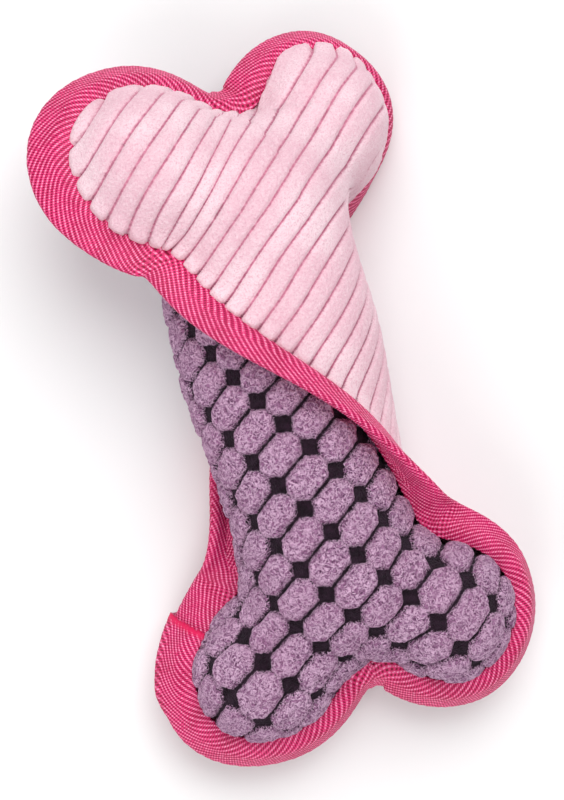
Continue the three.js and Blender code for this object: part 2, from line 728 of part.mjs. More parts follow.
// Wads of stuffing
const stuffed = solid(soft.stuffing);
const slab = (fromY, toY, fromZ, toZ) => {
  const low = new THREE.Vector3(-farU, fromY, fromZ);
  return block(low, new THREE.Vector3(farU, toY, toZ));
};
const pocketTop = halfHeight + FIT_GAP;
const pocketBottom = sleeveBottom - FIT_GAP;
const pocketRadius = SQUEAKER_RADIUS + FIT_GAP;
const pocket = solid(revolve([
  [0, pocketBottom], [pocketRadius, pocketBottom], [pocketRadius, pocketTop], [0, pocketTop],
]).translate(SIDE_BOW, 0, 0));
const half = SEWING_GAP / 2;
const wad = (fromY, toY, fromZ, toZ) => {
  const body = stuffed.intersect(slab(fromY, toY, fromZ, toZ));
  return geometryOf(body.subtract(pocket));
};
const middleTo = END_WAD_FROM - half;
const endFrom = END_WAD_FROM + half;
add('upper_end_wad', wad(endFrom, farS, -farU, farU), materials.fibre);
add('lower_end_wad', wad(-farS, -endFrom, -farU, farU), materials.fibre);
add('front_squeaker_wad', wad(-middleTo, middleTo, half, farU), materials.fibre);
add('back_squeaker_wad', wad(-middleTo, middleTo, -farU, -half), materials.fibre);

// Squeaker pieces
const squeaker = new THREE.Group();
squeaker.position.x = SIDE_BOW;
toy.add(squeaker);
add('squeaker_base', squeakerBase(), materials.shell, squeaker);
add('squeaker_dome', squeakerDome(), materials.shell, squeaker);
const whistle = new THREE.Group();
squeaker.add(whistle);
add('whistle_sleeve', whistleSleeve(), materials.whistle, whistle);
const voicing = add('voicing_block', geometryOf(voicingBlock()), materials.whistle, whistle);
voicing.position.z = whistleMiddle;
const reed = add('reed_strip', reedStrip(), materials.reed, whistle);
reed.position.z = whistleMiddle;
const clip = add('reed_clip', geometryOf(halfRound(CLIP_LENGTH, 1)), materials.whistle, whistle);
clip.position.z = sleeveBottom + FIT_GAP + CLIP_LENGTH / 2;

// The part's origin is the middle of its box, on the plane it rests on
const box = new THREE.Box3().setFromObject(toy);
const middle = box.getCenter(new THREE.Vector3());
toy.position.set(-middle.x, -middle.y, -floor);

export default toy;
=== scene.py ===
import math

import bmesh
import bpy
import numpy as np
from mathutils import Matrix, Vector


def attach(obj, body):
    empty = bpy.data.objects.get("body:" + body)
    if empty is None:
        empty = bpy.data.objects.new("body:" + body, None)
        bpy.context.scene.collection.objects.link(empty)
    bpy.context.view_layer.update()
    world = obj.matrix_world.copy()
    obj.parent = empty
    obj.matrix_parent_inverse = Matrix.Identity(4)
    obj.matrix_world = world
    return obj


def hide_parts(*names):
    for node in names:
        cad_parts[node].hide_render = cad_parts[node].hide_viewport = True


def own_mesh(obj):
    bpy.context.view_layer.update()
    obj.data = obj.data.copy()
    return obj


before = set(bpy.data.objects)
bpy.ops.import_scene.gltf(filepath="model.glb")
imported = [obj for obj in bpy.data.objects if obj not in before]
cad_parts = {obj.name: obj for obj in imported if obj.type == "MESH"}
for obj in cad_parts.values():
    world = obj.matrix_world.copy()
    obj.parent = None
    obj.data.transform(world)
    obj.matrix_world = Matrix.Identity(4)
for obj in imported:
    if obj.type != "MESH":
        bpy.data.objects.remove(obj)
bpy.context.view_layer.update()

# Sizes of the stuffed bone, in millimetres and degrees, as in the solids
BONE_LENGTH = 210.8
SHAFT_HALF_WIDTH = 24.6
SHAFT_HALF_DEPTH = 29.4
SHAFT_INSET = 44.8
KNOB_RADIUS = 17.0
KNOB_HALF_DEPTH = 19.4
KNOB_ACROSS = 32.5
KNOB_INSET = 20.3
NECK_ROUND = 30.7
SHAFT_HALF_LENGTH = BONE_LENGTH / 2 - SHAFT_INSET
KNOB_ALONG = BONE_LENGTH / 2 - KNOB_INSET
END_FROM = SHAFT_HALF_LENGTH * 0.8
END_TO = KNOB_ALONG + KNOB_RADIUS * 0.7
END_SLOPE = 0.048
NOTCH_SHIFT = 4.7
NOTCH_SHIFT_WIDTH = 42.0
SIDE_BOW = 2.8
SIDE_BOW_REACH = 90.0
UPPER_SWAY = 3.2
SWAY_SPAN = (30.0, 90.0)
LYING_PITCH = math.radians(2.5)
TURN_MIDDLE = -90.0
TURN_UPPER = 74.0
TURN_LOWER = 90.0
QUARTER_TURN_LENGTH = 53.3
TURN_CENTRE = 14.7
PRESS_DEPTH = 16.0
PRESS_SHARE = 0.34
REST_FLAT = 0.5
FLOOR_GAP = 0.15
ORIGIN = np.array([0.1881, -0.1775, 31.3961])

# Lean of the bound seam
FRONT_LEAN = 62.0
FRONT_LEAN_AT = 1.2
FRONT_LEAN_REACH = 50.1
BACK_LEAN = 92.0
BACK_LEAN_AT = -4.0
BACK_LEAN_REACH = 50.0
LEAN_FADE = 4.0
END_LEAN = 62.0
RIGHT_LEAN = 78.0
LEFT_LEAN = 36.0
LEAN_BEND = 4.0

# Tape: its folded profile past the seam
TAPE_FROM = 5.0
TAPE_TUCKED = 1.4
TAPE_VISIBLE = 12.5
TAPE_HALF = 2.35
TAPE_FOLD_HALF = 1.9
TAPE_STEP = 0.46
TAPE_ACROSS = 26
TAPE_LIP = 0.1
TAPE_LIP_HALF = 1.3
TAPE_CORE_AT = 9.0
TAPE_CORE_HALF = 1.1
FOLD_TURNS = (60, 30, 0, -30, -60)
FOLD_FROM = 0.5
OFF_MIDDLE = 0.5
# The two slants of its weave, in turns per millimetre along and across, and their shares of its relief
WEAVE_RIB = (0.34, 0.66)
WEAVE_BREAK = (1.05, -0.25)
WEAVE_RIB_SHARE = 0.55
WEAVE_BREAK_SHARE = 0.45
WEAVE_HEIGHT = 0.08
SELVEDGE_STEP = 1.9
SELVEDGE_WAVE = 0.2
SELVEDGE_BAND = 0.2
# Necks that the taut tape bridges: side, place along, reach, share
BRIDGES = (
    (-1, 65.0, 15.0, 1.0),
    (1, 62.0, 14.0, 0.8),
    (1, -60.0, 14.0, 1.0),
    (-1, -60.0, 14.0, 0.75),
)
BRIDGE_REACH = 9.0
BRIDGE_FULL = 0.8
# Places where the tape is pulled out from the seam or drawn in: side, place along, reach, amount
PULLS = (
    (-1, 71.0, 15.0, 4.2),
    (1, 62.0, 14.0, 2.4),
    (1, -60.0, 14.0, 2.0),
    (-1, -74.0, 12.0, -1.4),
)
# Lap of the tape's two ends: its place as a share of the lower notch's, and its form
LAP_SHARE = 0.80
LAP_LENGTH = 14.0
LAP_EASE = 6.0
LAP_HEIGHT = 0.9
LAP_OUT = 0.8
FRAY = 0.8

# Ribbed pile
WALE_PITCH = 6.57
WALE_START = -1.2
WALE_ANGLE = math.radians(44)
WALE_HEIGHT = 1.5
WALE_FROM = 2.9
WALE_SHOULDER = 0.80
WALE_CROWN = 0.20
WALE_WANDER = 0.05
WALE_WANDER_SIZE = 14.0
WALE_NAP = 0.10
GROOVE_HALF = 0.62
RIB_END_AT = 3.0
RIB_END_REACH = 2.6
STRAIGHT_SPAN = (10.0, 60.0)
STRAIGHT_UPWARD = (-0.2, 0.25)

# Places where the stuffed ribbed cloth bulges over the tape or draws back: side, place along, reach, amount
BULGES = (
    (1, 66.0, 10.0, 2.4),
    (1, 86.0, 9.0, -1.8),
    (1, 103.0, 8.0, 2.6),
    (-1, 66.0, 12.0, 3.6),
)
BULGE_WIDTH = 9.0

# Tufted pile
TUFT_LONG = 16.6
TUFT_LONG_START = 5.2
TUFT_SHORT = 11.4
TUFT_SHORT_START = 8.0
TUFT_ANGLE = math.radians(34)
TUFT_FROM = 1.4
TUFT_TOP = 4.7
TUFT_HEIGHT = TUFT_TOP - TUFT_FROM
TUFT_END_OVERLAP = 0.15
TUFT_SIDE_GAP = 0.55
TUFT_CORNER_CUT = 3.9
TUFT_EDGE_MARGIN = 0.3
TUFT_ROUND = 2.0
TUFT_SHOULDER = 0.80
TUFT_CROWN = 0.20
TUFT_FLUFF = 0.22
TUFT_FLUFF_SIZE = 1.2
TUFT_NAP = 0.42

# Size of the fine nap on both plushes
NAP_SIZE = 1.1

# In the valley between two knobs the pile of one side stops short of the other's
VALLEY_SHARE = 0.6

# Mesh density
PANEL_GRID = (330, 42, 108)
CLOTH_GRID = (20, 5, 5)
SEAM_STEP = 0.4
CLOTH_SWEEPS = 3000

# Stuffing: grain of its mesh, how far it stays inside its space and its lumps' depth in metres
WAD_GRAIN = 0.0024
WAD_RELAX = 4
WAD_INSET = 0.0003
LUMP_DEPTH = 0.0012
LUMP_SIZE = 9.0

# Seeds and table size of the fixed noise
WANDER_SEED = 3
FLUFF_SEED = 5
NAP_SEED = 11
FRAY_SEED = 9
LUMP_SEED = 21
NOISE_CELLS = 64

# Floor, light and camera, in metres and watts; a light has a place, a size and a power
FLOOR_HALF = 3.0
FLOOR_TONE = 0.9
WORLD_STRENGTH = 0.5
LIGHTS = {
    "key_light": ((0.5, 1.0, 1.9), 2.0, 36.0),
    "fill_light": ((-1.0, -1.2, 1.5), 1.6, 17.0),
}
TARGET = (-0.00027, -0.00169)
CAMERA_DISTANCE = 1.3
CAMERA_TURN = math.radians(-15)
PICTURE_HEIGHT = 0.263
MIDDLE_HEIGHT = 0.033
SENSOR_HEIGHT = 36.0


def smoothstep(x, low, high):
    t = np.clip((x - low) / (high - low), 0.0, 1.0)
    return t * t * (3 - 2 * t)


# Stuffed form in the flat pattern

def swell(u, s):
    past = np.maximum(np.abs(s) - SHAFT_HALF_LENGTH, 0.0)
    shaft = (1 - (u * u + past * past) / SHAFT_HALF_WIDTH**2) * SHAFT_HALF_DEPTH**2
    away = (np.abs(u) - KNOB_ACROSS) ** 2 + (np.abs(s) - KNOB_ALONG) ** 2
    knob = (1 - away / KNOB_RADIUS**2) * KNOB_HALF_DEPTH**2
    return (shaft + knob + np.hypot(shaft - knob, NECK_ROUND**2)) / 2


def falling(u, s):
    e = 0.01
    across = (swell(u - e, s) - swell(u + e, s)) / (2 * e)
    along = (swell(u, s - e) - swell(u, s + e)) / (2 * e)
    return across, along


def turn_at(along):
    past = along - TURN_CENTRE
    most = np.where(past > 0, TURN_UPPER, TURN_LOWER)
    return np.radians(TURN_MIDDLE + most * np.tanh(past / QUARTER_TURN_LENGTH * 90 / most))


PRESS_FROM = PRESS_DEPTH * (1 - PRESS_SHARE) - REST_FLAT


def placed(u, s, v, pressed=True):
    """Points of the flat pattern in the toy's own frame, in millimetres."""
    near = smoothstep(np.abs(s), END_FROM, END_TO)
    across = u + np.sign(s) * NOTCH_SHIFT * near * np.exp(-((u / NOTCH_SHIFT_WIDTH) ** 2))
    along = s - END_SLOPE * u
    angle = turn_at(along)
    bow = SIDE_BOW * np.exp(-((along / SIDE_BOW_REACH) ** 4)) + UPPER_SWAY * smoothstep(along, *SWAY_SPAN)
    x = across * np.cos(angle) - v * np.sin(angle) + bow
    z = across * np.sin(angle) + v * np.cos(angle)
    c, q = math.cos(LYING_PITCH), math.sin(LYING_PITCH)
    points = np.stack([x, along * c - z * q, along * q + z * c], -1) + ORIGIN
    if pressed:
        deep = np.maximum(PRESS_FROM - points[..., 2], 0) / PRESS_DEPTH
        low = PRESS_FROM - PRESS_DEPTH * (deep - PRESS_SHARE * deep**2)
        points[..., 2] = np.maximum(np.where(deep > 0, low, points[..., 2]), FLOOR_GAP)
    return points


def crossing(fall, low, high):
    low, high = np.array(low, float), np.array(high, float)
    for _ in range(50):
        middle = (low + high) / 2
        inside = fall(middle) > 0
        low, high = np.where(inside, middle, low), np.where(inside, high, middle)
    return (low + high) / 2


FAR = KNOB_ALONG + 2 * KNOB_RADIUS
NOTCH_S = float(crossing(lambda s: swell(0.0, s), SHAFT_HALF_LENGTH, FAR))
LAP_S = -LAP_SHARE * NOTCH_S
TIP_S = float(crossing(lambda s: swell(KNOB_ACROSS, s), KNOB_ALONG, FAR))


def seam_line(step):
    """Closed line where the two panels are sewn together, in even steps."""
    point = np.array([0.0, NOTCH_S])
    heading = np.array([-1.0, 0.0])
    points = []
    for i in range(20000):
        points.append(point)
        g = np.array(falling(*point))
        t = np.array([-g[1], g[0]]) / np.linalg.norm(g)
        heading = t if t @ heading > 0 else -t
        point = point + step * heading
        for _ in range(3):
            g = -np.array(falling(*point))
            point = point - swell(*point) * g / (g @ g)
        if i > 200 and np.hypot(*(point - points[0])) < 0.7 * step:
            break
    points = np.array(points)
    closed = np.vstack([points, points[:1]])
    length = np.concatenate([[0], np.cumsum(np.hypot(*np.diff(closed, axis=0).T))])
    return closed, length


SEAM, SEAM_LENGTH = seam_line(SEAM_STEP)


def lean_at(u, s):
    """Lean of the bound seam towards the tufted face."""
    def hump(at, reach):
        return np.exp(-(np.abs((s - at) / reach) ** LEAN_FADE))

    across, along = falling(u, s)
    size = np.hypot(across, along)
    across, along = across / size, along / size
    front = FRONT_LEAN * hump(FRONT_LEAN_AT, FRONT_LEAN_REACH)
    back = BACK_LEAN * hump(BACK_LEAN_AT, BACK_LEAN_REACH)
    at_end = np.sign(s) * smoothstep(np.abs(s), END_FROM, KNOB_ALONG)
    side = np.where(across * s > 0, RIGHT_LEAN, LEFT_LEAN)
    return np.radians(np.where(u < 0, front, back) + at_end * (END_LEAN * along**2 + side * across**2))


def fin_point(u, s, out, off):
    """A point of the bound seam: out along the leaning tape, off its middle plane."""
    lean = lean_at(u, s)
    lean = np.where(np.abs(lean) < 1e-6, 1e-6, lean)
    angle = lean * np.clip(out - TAPE_FROM, 0, LEAN_BEND) / LEAN_BEND
    radius = LEAN_BEND / lean
    straight = np.maximum(out - TAPE_FROM - LEAN_BEND, 0)
    across = np.minimum(out, TAPE_FROM) + (radius + off) * np.sin(angle) + straight * np.cos(angle)
    down = radius - (radius + off) * np.cos(angle) + straight * np.sin(angle)
    g = np.stack(falling(u, s), -1)
    g /= np.linalg.norm(g, axis=-1, keepdims=True)
    return placed(u + g[..., 0] * across, s + g[..., 1] * across, -down)


# Grid of the pattern: rows along the bone, columns from the middle or the notch out to the seam

def pattern_rows(shaft_rows, knob_rows):
    turn = np.sin(np.arange(1, knob_rows + 1) / knob_rows * np.pi / 2)
    knob = NOTCH_S + (TIP_S - NOTCH_S) * turn
    return np.concatenate([-knob[::-1], np.linspace(-NOTCH_S, NOTCH_S, shaft_rows + 1), knob])


def pattern(shaft_rows, knob_rows, columns):
    """Flat coordinates u, s of one side of the grid, as [row, column]."""
    rows = pattern_rows(shaft_rows, knob_rows)
    beyond = np.abs(rows) > NOTCH_S + 1e-9
    inner = np.where(beyond, crossing(lambda u: -swell(u, rows), 0 * rows, 0 * rows + KNOB_ACROSS), 0)
    outer = crossing(lambda u: swell(u, rows), np.where(beyond, KNOB_ACROSS, 0), 0 * rows + FAR)
    inner[[0, -1]] = outer[[0, -1]] = KNOB_ACROSS
    t = np.linspace(0, 1, columns + 1)
    near = smoothstep(np.abs(rows), NOTCH_S * 0.6, NOTCH_S)[:, None]
    share = np.sin(t * np.pi / 2) * (1 - near) + (1 - np.cos(t * np.pi)) / 2 * near
    u = inner[:, None] + (outer - inner)[:, None] * share
    return u, np.repeat(rows[:, None], columns + 1, 1)


def form(u, s, face):
    """Depth and outward normal of the stuffed form at flat points, in the flat frame."""
    depth = np.sqrt(np.maximum(swell(u, s), 0))
    fu, fs = falling(u, s)
    normal = np.stack([fu, fs, 2 * depth * face], -1)
    normal /= np.linalg.norm(normal, axis=-1, keepdims=True)
    return depth * face, normal


def lifted(u, s, face, off):
    v, n = form(u, s, face)
    v = v + n[..., 2] * off
    v = face * np.maximum(np.abs(v), 0.1)
    aside = n[..., 0] * off
    most = VALLEY_SHARE * np.abs(u)
    aside = np.where(aside * u < 0, np.clip(aside, -most, most), aside)
    return u + aside, s + n[..., 1] * off, v


# Cloth laid flat, so that its ribs and tufts run true over the stuffed and turned form

def laid_flat(face):
    """Cloth coordinates of a coarse grid: each of its triangles keeps its shape as far as it can."""
    u, s = pattern(*CLOTH_GRID)
    sides = np.array([-1, 1])[:, None, None]
    uu, ss = sides * u, np.repeat(s[None], 2, 0)
    solid = placed(*lifted(uu, ss, face, TUFT_TOP / 2), pressed=False)
    steps = np.linalg.norm(np.diff(solid, axis=2), axis=-1)
    arc = np.concatenate([np.zeros((2, len(u), 1)), np.cumsum(steps, 2)], 2) + u[None, :, :1]
    turn = turn_at(ss - END_SLOPE * uu) - math.radians(TURN_MIDDLE)
    start = np.stack([face * sides * arc - SHAFT_HALF_DEPTH * turn, ss], -1).reshape(-1, 2)
    keys = np.round(np.stack([uu, ss], -1).reshape(-1, 2), 3)
    _, first, index = np.unique(keys, axis=0, return_index=True, return_inverse=True)
    index = index.reshape(uu.shape)
    cloth, points = start[first], solid.reshape(-1, 3)[first]
    corners = []
    for k in (0, 1):
        a, b, c, d = index[k, :-1, :-1], index[k, :-1, 1:], index[k, 1:, 1:], index[k, 1:, :-1]
        for triangle in ((a, b, c), (a, c, d), (a, b, d), (b, c, d)):
            t = np.stack([x.ravel() for x in triangle], -1)
            corners.append(t if (k == 1) == (face > 0) else t[:, ::-1])
    corners = np.vstack(corners)
    a, b, c = corners.T
    corners = corners[(a != b) & (b != c) & (c != a)]
    base = points[corners[:, 1]] - points[corners[:, 0]]
    other = points[corners[:, 2]] - points[corners[:, 0]]
    length = np.linalg.norm(base, axis=1)
    shape = np.zeros((len(corners), 3, 2))
    shape[:, 1, 0] = length
    shape[:, 2, 0] = (base * other).sum(1) / length
    shape[:, 2, 1] = np.linalg.norm(np.cross(base, other), axis=1) / length
    shape -= shape.mean(1, keepdims=True)
    flat = corners.ravel()
    count = np.bincount(flat)
    for _ in range(CLOTH_SWEEPS):
        here = cloth[corners]
        middle = here.mean(1, keepdims=True)
        d = here - middle
        cos = (shape * d).sum((1, 2))
        sin = (shape[..., 0] * d[..., 1] - shape[..., 1] * d[..., 0]).sum(1)
        size = np.hypot(cos, sin)
        cos, sin = (cos / size)[:, None], (sin / size)[:, None]
        x, y = shape[..., 0], shape[..., 1]
        wish_a = (middle[..., 0] + x * cos - y * sin).ravel()
        wish_b = (middle[..., 1] + x * sin + y * cos).ravel()
        cloth = np.stack([np.bincount(flat, wish_a) / count, np.bincount(flat, wish_b) / count], -1)
    depth, _ = form(uu, ss, face)
    return np.stack([uu, ss, depth], -1).reshape(-1, 3)[first], cloth


def smooth_map(places, values, wanted):
    """Values known at some places in space, carried smoothly to the wanted places."""
    def spread(a, b):
        return np.linalg.norm(a[:, None] - b[None], axis=-1) ** 3

    def plane(a):
        return np.hstack([np.ones((len(a), 1)), a])

    n = len(places)
    table = np.zeros((n + 4, n + 4))
    table[:n, :n] = spread(places, places)
    table[:n, n:] = plane(places)
    table[n:, :n] = plane(places).T
    weights = np.linalg.solve(table, np.vstack([values, np.zeros((4, values.shape[1]))]))
    flat = wanted.reshape(-1, 3)
    parts = [spread(p, places) @ weights[:n] + plane(p) @ weights[n:] for p in np.array_split(flat, 40)]
    return np.vstack(parts).reshape(wanted.shape[:-1] + (values.shape[1],))


def drawn_straight(u, s, face, cloth):
    """Over the upper end the stuffing draws the cloth flat, and its ribs run straight."""
    v, normal = form(u, s, face)
    along = s - END_SLOPE * u
    angle = turn_at(along)
    upward = normal[..., 0] * np.sin(angle) + normal[..., 2] * np.cos(angle)
    share = smoothstep(along, *STRAIGHT_SPAN) * smoothstep(upward, *STRAIGHT_UPWARD)
    spot = placed(u, s, v, pressed=False)
    table = np.stack([spot[..., 0], spot[..., 1], np.ones_like(v)], -1)
    weight = np.sqrt(share)[..., None]
    best = np.linalg.lstsq((table * weight).reshape(-1, 3), (cloth * weight).reshape(-1, 2), rcond=None)[0]
    return cloth + share[..., None] * (table @ best - cloth)


# Noise that is the same each run

def lattice_noise(points, scale, seed):
    """Smooth noise from -1 to 1 at 2-D or 3-D points."""
    p = np.asarray(points, float) / scale
    dims = p.shape[-1]
    table = np.random.default_rng(seed).uniform(-1, 1, (NOISE_CELLS,) * dims)
    base = np.floor(p).astype(int)
    t = p - base
    t = t * t * (3 - 2 * t)
    total = np.zeros(p.shape[:-1])
    for corner in range(2**dims):
        bits = [(corner >> d) & 1 for d in range(dims)]
        w = np.ones(p.shape[:-1])
        index = []
        for d, bit in enumerate(bits):
            w = w * (t[..., d] if bit else 1 - t[..., d])
            index.append((base[..., d] + bit) % NOISE_CELLS)
        total += w * table[tuple(index)]
    return total


# Relief of the two plushes: height of the pile over the cloth, from 0 to 1

def wales(a, b, edge):
    n = (-a * math.sin(WALE_ANGLE) + b * math.cos(WALE_ANGLE) - WALE_START) / WALE_PITCH
    n = n + WALE_WANDER * lattice_noise(np.stack([a, b], -1), WALE_WANDER_SIZE, WANDER_SEED)
    x = np.abs(n - np.round(n)) * WALE_PITCH
    groove = np.exp(-((x / GROOVE_HALF) ** 2))
    dome = 1 - (1 - 2 * x / WALE_PITCH) ** 2
    over_tape = np.exp(-(((edge - RIB_END_AT) / RIB_END_REACH) ** 2))
    return (WALE_SHOULDER + over_tape) * (1 - groove) + WALE_CROWN * dome, n


def tufts(a, b, edge):
    c, q = math.cos(TUFT_ANGLE), math.sin(TUFT_ANGLE)
    p = (a * c + b * q - TUFT_LONG_START) / TUFT_LONG
    w = (-a * q + b * c - TUFT_SHORT_START) / TUFT_SHORT
    half_long, half_short = TUFT_LONG / 2, TUFT_SHORT / 2
    x = np.abs(p - np.round(p)) * TUFT_LONG
    y = np.abs(w - np.round(w)) * TUFT_SHORT
    ends = half_long + TUFT_END_OVERLAP - x
    sides = half_short - TUFT_SIDE_GAP - y
    corner = ((half_long - x) + (half_short - y) - TUFT_CORNER_CUT) / math.sqrt(2)
    fluff = TUFT_FLUFF * lattice_noise(np.stack([a, b], -1), TUFT_FLUFF_SIZE, FLUFF_SEED)
    inside = np.minimum(np.minimum(ends, sides), corner) + fluff
    inside = np.minimum(inside, edge + TUFT_EDGE_MARGIN)
    rise = np.clip(inside / TUFT_ROUND, 0, 1)
    dome = np.sqrt(np.clip(1 - (1 - rise) ** 2, 0, 1))
    crown = TUFT_SHOULDER + TUFT_CROWN * (1 - (x / half_long) ** 2) * (1 - (y / half_short) ** 2)
    return dome * crown, inside


def humps(u, s, places):
    total = np.zeros_like(u)
    for side, at, reach, amount in places:
        total += amount * (u * side > 0) * np.exp(-(((s - at) / reach) ** 2))
    return total


def seam_distance(u, s, v):
    """Distance of points of the form from the seam line."""
    line = SEAM[:-1:3]
    flat = np.stack([u, s, v], -1).reshape(-1, 3)
    away = np.empty(len(flat))
    for i in range(0, len(flat), 4000):
        part = flat[i:i + 4000]
        d2 = (part[:, None, 0] - line[None, :, 0]) ** 2 + (part[:, None, 1] - line[None, :, 1]) ** 2
        away[i:i + 4000] = np.sqrt(d2.min(1) + part[:, 2] ** 2)
    return away.reshape(u.shape)


# Mesh helpers

def mesh_object(name, points, faces, smooth=True):
    mesh = bpy.data.meshes.new(name)
    mesh.from_pydata((np.asarray(points).reshape(-1, 3) * 0.001).tolist(), [], np.asarray(faces).tolist())
    mesh.update()
    if smooth:
        mesh.polygons.foreach_set("use_smooth", np.ones(len(mesh.polygons), bool))
    obj = bpy.data.objects.new(name, mesh)
    bpy.context.scene.collection.objects.link(obj)
    return obj


def add_value(obj, name, values):
    attribute = obj.data.attributes.new(name, "FLOAT", "POINT")
    attribute.data.foreach_set("value", np.asarray(values, np.float32).ravel())


def add_uv(obj, coordinates, name="cloth"):
    layer = obj.data.uv_layers.new(name=name)
    index = np.empty(len(obj.data.loops), int)
    obj.data.loops.foreach_get("vertex_index", index)
    layer.data.foreach_set("uv", np.asarray(coordinates, np.float32)[index].ravel())


def soft(obj, nodes):
    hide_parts(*nodes)
    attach(obj, "toy")
    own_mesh(obj)


# Materials

class Nodes:
    """Short way to write a node material."""

    def __init__(self, name):
        self.material = bpy.data.materials.new(name)
        self.material.use_nodes = True
        self.tree = self.material.node_tree
        self.shader = self.tree.nodes["Principled BSDF"]

    def add(self, kind, settings=None, **inputs):
        node = self.tree.nodes.new(kind)
        for key, value in (settings or {}).items():
            setattr(node, key, value)
        for key, value in inputs.items():
            numbered = key[0] == "i" and key[1:].isdigit()
            self.put(node.inputs[int(key[1:]) if numbered else key], value)
        return node

    def put(self, socket, value):
        if isinstance(value, bpy.types.NodeSocket):
            self.tree.links.new(value, socket)
        else:
            socket.default_value = value

    def math(self, operation, a, b=0.0, c=0.0):
        node = self.add("ShaderNodeMath", {"operation": operation}, i0=a, i1=b, i2=c)
        return node.outputs[0]

    def mix(self, share, a, b, blend="MIX"):
        node = self.tree.nodes.new("ShaderNodeMix")
        node.data_type = "RGBA"
        node.blend_type = blend
        self.put(node.inputs[0], share)
        self.put(node.inputs[6], a)
        self.put(node.inputs[7], b)
        return node.outputs[2]

    def ramp(self, value, low, high):
        node = self.add("ShaderNodeMapRange", {"interpolation_type": "SMOOTHSTEP", "clamp": True},
                        i0=value, i1=low, i2=high)
        return node.outputs[0]

    def noise(self, vector, scale, detail=2.0, roughness=0.5):
        node = self.add("ShaderNodeTexNoise", {"noise_dimensions": "3D"}, Scale=scale, Detail=detail,
                        Roughness=roughness)
        self.put(node.inputs["Vector"], vector)
        return node.outputs["Fac"]

    def value(self, name):
        return self.add("ShaderNodeAttribute", {"attribute_name": name}).outputs["Fac"]

    def uv(self, name="cloth"):
        return self.add("ShaderNodeUVMap", {"uv_map": name}).outputs[0]

    def object_space(self):
        return self.add("ShaderNodeTexCoord").outputs["Object"]

    def bump(self, height, distance, strength=1.0):
        node = self.add("ShaderNodeBump", None, Strength=strength, Distance=distance, Height=height)
        self.put(self.shader.inputs["Normal"], node.outputs[0])


def rgb(r, g, b):
    """Linear colour from screen values of 0 to 255."""
    def linear(c):
        c /= 255
        return c / 12.92 if c <= 0.04045 else ((c + 0.055) / 1.055) ** 2.4
    return (linear(r), linear(g), linear(b), 1.0)


def ribbed_plush():
    n = Nodes("ribbed_plush")
    place = n.object_space()
    from_groove = n.math("MULTIPLY", n.math("PINGPONG", n.value("mark"), 0.5), WALE_PITCH)
    patch = n.noise(place, 45, 2.0)
    nap = n.noise(place, 900, 3.0, 0.65)
    speck = n.noise(place, 1700, 2.0, 0.6)
    top = n.mix(n.ramp(patch, 0.35, 0.68), rgb(233, 190, 203), rgb(244, 213, 222))
    top = n.mix(n.math("MULTIPLY", n.ramp(nap, 0.42, 0.72), 0.35), top, rgb(254, 234, 240))
    top = n.mix(n.math("MULTIPLY", n.ramp(speck, 0.50, 0.66), 0.55), top, rgb(222, 162, 182))
    # Darker line along each groove between the ribs, its strength varied in patches: painted shade in the
    # grooves
    low = n.mix(n.ramp(nap, 0.3, 0.7), rgb(176, 70, 108), rgb(210, 116, 150))
    ragged = n.math("MULTIPLY_ADD", nap, 0.35, from_groove)
    line = n.math("SUBTRACT", 1.0, n.ramp(ragged, 0.30, 0.74))
    colour = n.mix(n.math("MULTIPLY", line, n.math("MULTIPLY_ADD", patch, 0.6, 0.5)), top, low)
    n.put(n.shader.inputs["Base Color"], colour)
    n.shader.inputs["Roughness"].default_value = 0.92
    n.shader.inputs["Sheen Weight"].default_value = 0.25
    n.shader.inputs["Sheen Roughness"].default_value = 0.5
    n.shader.inputs["Sheen Tint"].default_value = (1.0, 0.86, 0.92, 1.0)
    n.shader.inputs["Specular IOR Level"].default_value = 0.15
    n.bump(n.math("ADD", nap, n.math("MULTIPLY", speck, 0.6)), 0.0008, 0.7)
    return n.material


def curls(n, place, size, thin):
    """Bright curly lines, as of short fibres, from 0 to 1; in the tufted plush they carry painted highlight
    on the fibres.
    """
    node = n.add("ShaderNodeTexNoise", {"noise_dimensions": "3D"}, Scale=size, Detail=2.0, Roughness=0.6,
                 Distortion=0.6)
    n.put(node.inputs["Vector"], place)
    away = n.math("ABSOLUTE", n.math("SUBTRACT", node.outputs["Fac"], 0.5))
    return n.math("SUBTRACT", 1.0, n.ramp(away, 0.0, thin))


def tufted_plush():
    n = Nodes("tufted_plush")
    place = n.object_space()
    inside = n.value("mark")
    coarse, thin = curls(n, place, 620, 0.16), curls(n, place, 1250, 0.2)
    fibres = n.math("MULTIPLY_ADD", coarse, 0.6, n.math("MULTIPLY", thin, 0.4))
    clump = n.noise(place, 420, 2.0, 0.5)
    patch = n.noise(place, 60, 1.0)
    # Fibre colours: the dark between the curly fibres is painted shade in the creases; the light on the
    # fibres and on the clumps is painted highlight on their tops
    body = n.mix(n.ramp(fibres, 0.05, 0.50), rgb(70, 28, 66), rgb(166, 114, 154))
    body = n.mix(n.ramp(fibres, 0.50, 0.95), body, rgb(228, 188, 218))
    body = n.mix(n.math("MULTIPLY", n.ramp(clump, 0.42, 0.66), 0.25), body, rgb(206, 164, 198))
    body = n.mix(n.math("MULTIPLY", n.ramp(patch, 0.35, 0.70), 0.20), body, rgb(186, 130, 168))
    ground = n.mix(n.ramp(clump, 0.3, 0.7), rgb(26, 10, 22), rgb(48, 28, 44))
    ragged = n.math("MULTIPLY_ADD", n.math("SUBTRACT", thin, 0.6), 0.8, inside)
    colour = n.mix(n.ramp(ragged, 0.0, 0.35), ground, body)
    n.put(n.shader.inputs["Base Color"], colour)
    n.shader.inputs["Roughness"].default_value = 0.95
    n.shader.inputs["Sheen Weight"].default_value = 0.08
    n.shader.inputs["Sheen Roughness"].default_value = 0.55
    n.shader.inputs["Sheen Tint"].default_value = (0.92, 0.78, 0.95, 1.0)
    n.shader.inputs["Specular IOR Level"].default_value = 0.12
    n.bump(fibres, 0.0012, 0.8)
    return n.material


